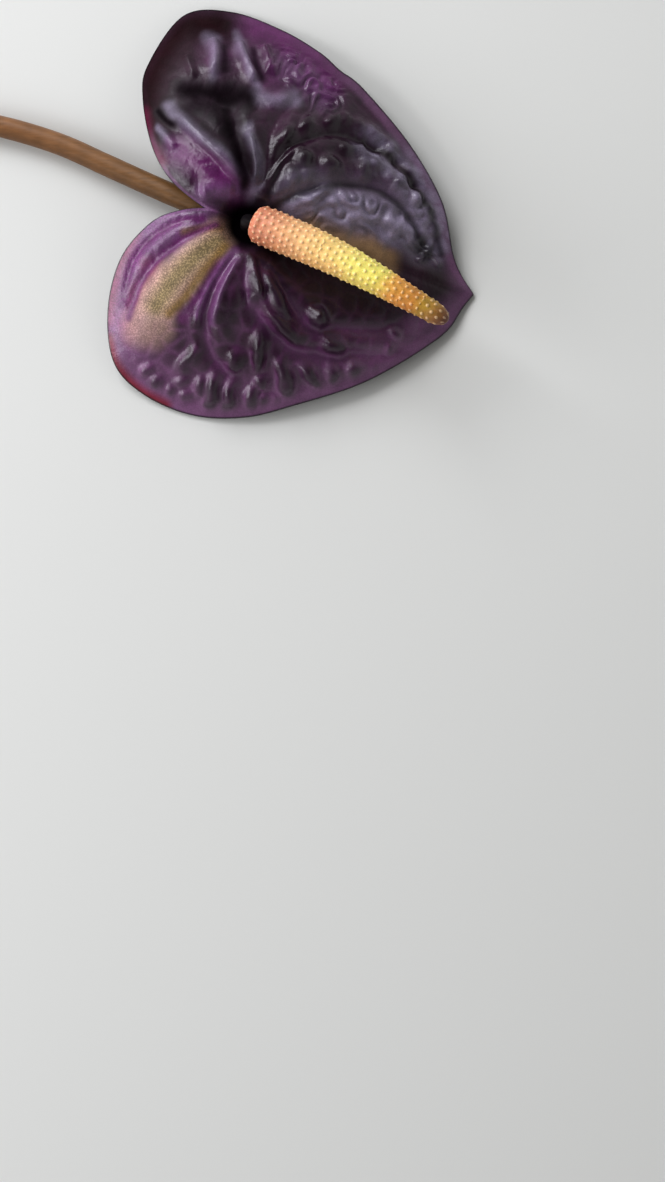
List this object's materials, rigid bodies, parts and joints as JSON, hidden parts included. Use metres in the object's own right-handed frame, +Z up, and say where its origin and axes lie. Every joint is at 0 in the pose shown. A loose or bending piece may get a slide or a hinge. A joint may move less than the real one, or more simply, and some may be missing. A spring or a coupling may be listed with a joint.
{
  "type": "anthurium flower",
  "caption": "Cut anthurium flower lying face up: a broad heart-shaped dark purple spathe with a tapering beaded spadix, on a smooth curved stem.",
  "frame": {"origin": "on the surface that the flower lies on, under the middle of its box", "axes": "+X from the cut end of the stem towards the spathe, +Z up from the surface, out of the front of the spathe"},
  "size_m": [0.2572, 0.1166, 0.0316],
  "materials": {
    "spathe": "satin",
    "spadix": "matte",
    "stem": "satin"
  },
  "bodies": {
    "root": {"spathe": "spathe", "spadix": "spadix", "stem": "stem"}
  },
  "joints": []
}
